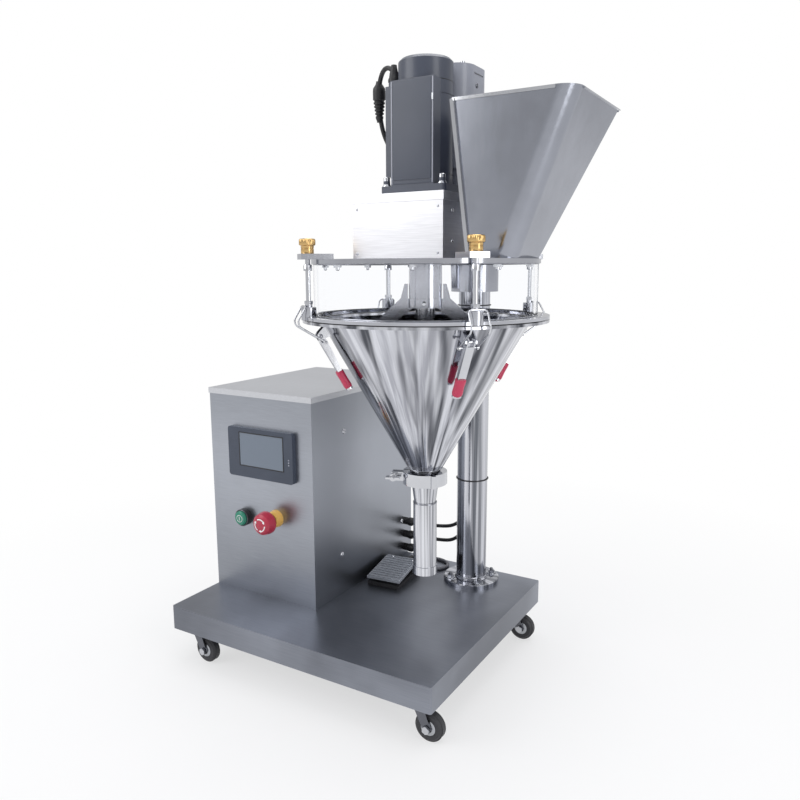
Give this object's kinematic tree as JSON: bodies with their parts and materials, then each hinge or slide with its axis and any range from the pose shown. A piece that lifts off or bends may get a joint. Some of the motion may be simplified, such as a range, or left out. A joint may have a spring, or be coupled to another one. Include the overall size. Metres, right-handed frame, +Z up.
{
  "type": "auger powder filler",
  "caption": "Bench-top auger powder filler on a castered deck: control cabinet, column-mounted cone hopper with drive head and feed hopper, and a foot pedal.",
  "frame": {"origin": "on the floor, under the middle of the machine's box", "axes": "+X along the deck's front edge from the cabinet to the filling head, +Y to the back, +Z up"},
  "size_m": [0.675, 0.478, 0.991],
  "materials": {
    "stainless": "brushed",
    "polished": "polished",
    "acrylic": "clear",
    "dark_motor": "satin",
    "grey_motor": "satin",
    "brass": "polished",
    "black_plastic": "matte",
    "screen": "gloss",
    "panel_plastic": "matte",
    "green_plastic": "gloss",
    "red_plastic": "gloss",
    "yellow_plastic": "gloss",
    "rubber": "matte",
    "grey_cord": "matte",
    "zinc": "satin",
    "white_rubber": "matte"
  },
  "bodies": {
    "machine": {"base_deck": "stainless", "base_rails": "stainless", "caster_seats": "zinc", "cabinet_shell": "stainless", "cabinet_lid": "stainless", "cabinet_rear_cover": "stainless", "hmi_housing": "panel_plastic", "hmi_screen": "screen", "start_button_bezel": "black_plastic", "estop_collar": "yellow_plastic", "cable_glands": "black_plastic", "column": "polished", "head_arm": "stainless", "nozzle_tube": "polished", "tri_clamp": "polished", "hopper_cone": "polished", "hopper_gasket": "white_rubber", "latch_seats": "stainless", "catch_ring": "polished", "tie_rods": "polished", "sight_ring": "acrylic", "top_plate": "polished", "bearing_housing": "polished", "drive_housing": "stainless", "housing_lid": "stainless", "drive_belt": "rubber", "servo_motor": "dark_motor", "stir_motor": "grey_motor", "feed_hopper": "polished", "pedal_base": "rubber", "motor_leads": "rubber", "pedal_cord": "grey_cord"},
    "auger": {"auger": "polished"},
    "agitator": {"agitator": "polished"},
    "stir_pulley": {"stir_pulley": "dark_motor"},
    "start_button_cap": {"start_button_cap": "green_plastic"},
    "estop_stem": {"estop_stem": "black_plastic"},
    "estop_head": {"estop_head": "red_plastic"},
    "wing_nut": {"wing_nut": "polished"},
    "pedal_treadle": {"pedal_treadle": "grey_motor"},
    "knob_1": {"knob_1": "brass"},
    "knob_2": {"knob_2": "brass"},
    "knob_3": {"knob_3": "brass"},
    "knob_4": {"knob_4": "brass"},
    "latch_lever_1": {"latch_lever_1": "polished"},
    "latch_lever_2": {"latch_lever_2": "polished"},
    "latch_lever_3": {"latch_lever_3": "polished"},
    "latch_lever_4": {"latch_lever_4": "polished"},
    "latch_bail_1": {"latch_bail_1": "polished"},
    "latch_bail_2": {"latch_bail_2": "polished"},
    "latch_bail_3": {"latch_bail_3": "polished"},
    "latch_bail_4": {"latch_bail_4": "polished"},
    "caster_fork_front_left": {"caster_fork_front_left": "zinc"},
    "caster_fork_front_right": {"caster_fork_front_right": "zinc"},
    "caster_fork_rear_left": {"caster_fork_rear_left": "zinc"},
    "caster_fork_rear_right": {"caster_fork_rear_right": "zinc"},
    "caster_wheel_front_left": {"caster_wheel_front_left": "rubber"},
    "caster_wheel_front_right": {"caster_wheel_front_right": "rubber"},
    "caster_wheel_rear_left": {"caster_wheel_rear_left": "rubber"},
    "caster_wheel_rear_right": {"caster_wheel_rear_right": "rubber"}
  },
  "joints": [
    {"name": "auger_spin", "type": "hinge", "parent": "machine", "child": "auger", "pos_m": [0.0875, -0.052, 0.2645], "axis": [0, 0, 1], "continuous": true},
    {"name": "agitator_spin", "type": "hinge", "parent": "machine", "child": "agitator", "pos_m": [0.0875, -0.052, 0.704], "axis": [0, 0, 1], "continuous": true},
    {"name": "stir_pulley_spin", "type": "hinge", "parent": "machine", "child": "stir_pulley", "pos_m": [0.0875, 0.036, 0.724], "axis": [0, 0, 1], "continuous": true},
    {"name": "start_button_press", "type": "slide", "parent": "machine", "child": "start_button_cap", "axis": [0, 1, 0], "range_m": [0, 0.0035], "stiffness_N_per_m": 400, "springref_m": -0.002},
    {"name": "estop_press", "type": "slide", "parent": "machine", "child": "estop_stem", "axis": [0, 1, 0], "range_m": [0, 0.005]},
    {"name": "estop_twist", "type": "hinge", "parent": "estop_stem", "child": "estop_head", "pos_m": [-0.189, -0.121, 0.259], "axis": [0, -1, 0], "range_deg": [0, 45]},
    {"name": "wing_nut_turn", "type": "hinge", "parent": "machine", "child": "wing_nut", "pos_m": [0.04145, -0.06876, 0.365], "axis": [0.342, -0.9397, 0], "continuous": true},
    {"name": "knob_1_turn", "type": "hinge", "parent": "machine", "child": "knob_1", "pos_m": [-0.02884, -0.19065, 0.712], "axis": [0, 0, 1], "continuous": true},
    {"name": "knob_2_turn", "type": "hinge", "parent": "machine", "child": "knob_2", "pos_m": [0.22615, -0.16834, 0.712], "axis": [0, 0, 1], "continuous": true},
    {"name": "knob_3_turn", "type": "hinge", "parent": "machine", "child": "knob_3", "pos_m": [0.20384, 0.08665, 0.712], "axis": [0, 0, 1], "continuous": true},
    {"name": "knob_4_turn", "type": "hinge", "parent": "machine", "child": "knob_4", "pos_m": [-0.05115, 0.06434, 0.712], "axis": [0, 0, 1], "continuous": true},
    {"name": "latch_lever_1_swing", "type": "hinge", "parent": "machine", "child": "latch_lever_1", "pos_m": [-0.0192, -0.17916, 0.594], "axis": [-0.766, 0.6428, 0], "range_deg": [0, 100]},
    {"name": "latch_bail_1_swing", "type": "hinge", "parent": "latch_lever_1", "child": "latch_bail_1", "pos_m": [-0.01543, -0.17467, 0.58584], "axis": [-0.766, 0.6428, 0], "range_deg": [-85, 0]},
    {"name": "latch_lever_2_swing", "type": "hinge", "parent": "machine", "child": "latch_lever_2", "pos_m": [0.21466, -0.1587, 0.594], "axis": [-0.6428, -0.766, 0], "range_deg": [0, 100]},
    {"name": "latch_bail_2_swing", "type": "hinge", "parent": "latch_lever_2", "child": "latch_bail_2", "pos_m": [0.21017, -0.15493, 0.58584], "axis": [-0.6428, -0.766, 0], "range_deg": [-85, 0]},
    {"name": "latch_lever_3_swing", "type": "hinge", "parent": "machine", "child": "latch_lever_3", "pos_m": [0.1942, 0.07516, 0.594], "axis": [0.766, -0.6428, 0], "range_deg": [0, 100]},
    {"name": "latch_bail_3_swing", "type": "hinge", "parent": "latch_lever_3", "child": "latch_bail_3", "pos_m": [0.19043, 0.07067, 0.58584], "axis": [0.766, -0.6428, 0], "range_deg": [-85, 0]},
    {"name": "latch_lever_4_swing", "type": "hinge", "parent": "machine", "child": "latch_lever_4", "pos_m": [-0.03966, 0.0547, 0.594], "axis": [0.6428, 0.766, 0], "range_deg": [0, 100]},
    {"name": "latch_bail_4_swing", "type": "hinge", "parent": "latch_lever_4", "child": "latch_bail_4", "pos_m": [-0.03517, 0.05093, 0.58584], "axis": [0.6428, 0.766, 0], "range_deg": [-85, 0]},
    {"name": "caster_front_left_swivel", "type": "hinge", "parent": "machine", "child": "caster_fork_front_left", "pos_m": [-0.3035, -0.171, 0.05], "axis": [0, 0, 1], "continuous": true},
    {"name": "caster_front_left_roll", "type": "hinge", "parent": "caster_fork_front_left", "child": "caster_wheel_front_left", "pos_m": [-0.2885, -0.171, 0.023], "axis": [0, 1, 0], "continuous": true},
    {"name": "caster_front_right_swivel", "type": "hinge", "parent": "machine", "child": "caster_fork_front_right", "pos_m": [0.1485, -0.171, 0.05], "axis": [0, 0, 1], "continuous": true},
    {"name": "caster_front_right_roll", "type": "hinge", "parent": "caster_fork_front_right", "child": "caster_wheel_front_right", "pos_m": [0.1635, -0.171, 0.023], "axis": [0, 1, 0], "continuous": true},
    {"name": "caster_rear_left_swivel", "type": "hinge", "parent": "machine", "child": "caster_fork_rear_left", "pos_m": [-0.3035, 0.191, 0.05], "axis": [0, 0, 1], "continuous": true},
    {"name": "caster_rear_left_roll", "type": "hinge", "parent": "caster_fork_rear_left", "child": "caster_wheel_rear_left", "pos_m": [-0.2885, 0.191, 0.023], "axis": [0, 1, 0], "continuous": true},
    {"name": "caster_rear_right_swivel", "type": "hinge", "parent": "machine", "child": "caster_fork_rear_right", "pos_m": [0.1485, 0.191, 0.05], "axis": [0, 0, 1], "continuous": true},
    {"name": "caster_rear_right_roll", "type": "hinge", "parent": "caster_fork_rear_right", "child": "caster_wheel_rear_right", "pos_m": [0.1635, 0.191, 0.023], "axis": [0, 1, 0], "continuous": true},
    {"name": "pedal_tread", "type": "hinge", "parent": "machine", "child": "pedal_treadle", "pos_m": [-0.06627, 0.12685, 0.121], "axis": [0.9945, 0.1045, 0], "range_deg": [0, 3], "stiffness_Nm_per_rad": 3, "springref_deg": -8.59}
  ],
  "couplings": [
    {"joint": "stir_pulley_spin", "follows": "agitator_spin", "ratio": 1},
    {"joint": "latch_bail_1_swing", "follows": "latch_lever_1_swing", "ratio": -0.85},
    {"joint": "latch_bail_2_swing", "follows": "latch_lever_2_swing", "ratio": -0.85},
    {"joint": "latch_bail_3_swing", "follows": "latch_lever_3_swing", "ratio": -0.85},
    {"joint": "latch_bail_4_swing", "follows": "latch_lever_4_swing", "ratio": -0.85}
  ]
}
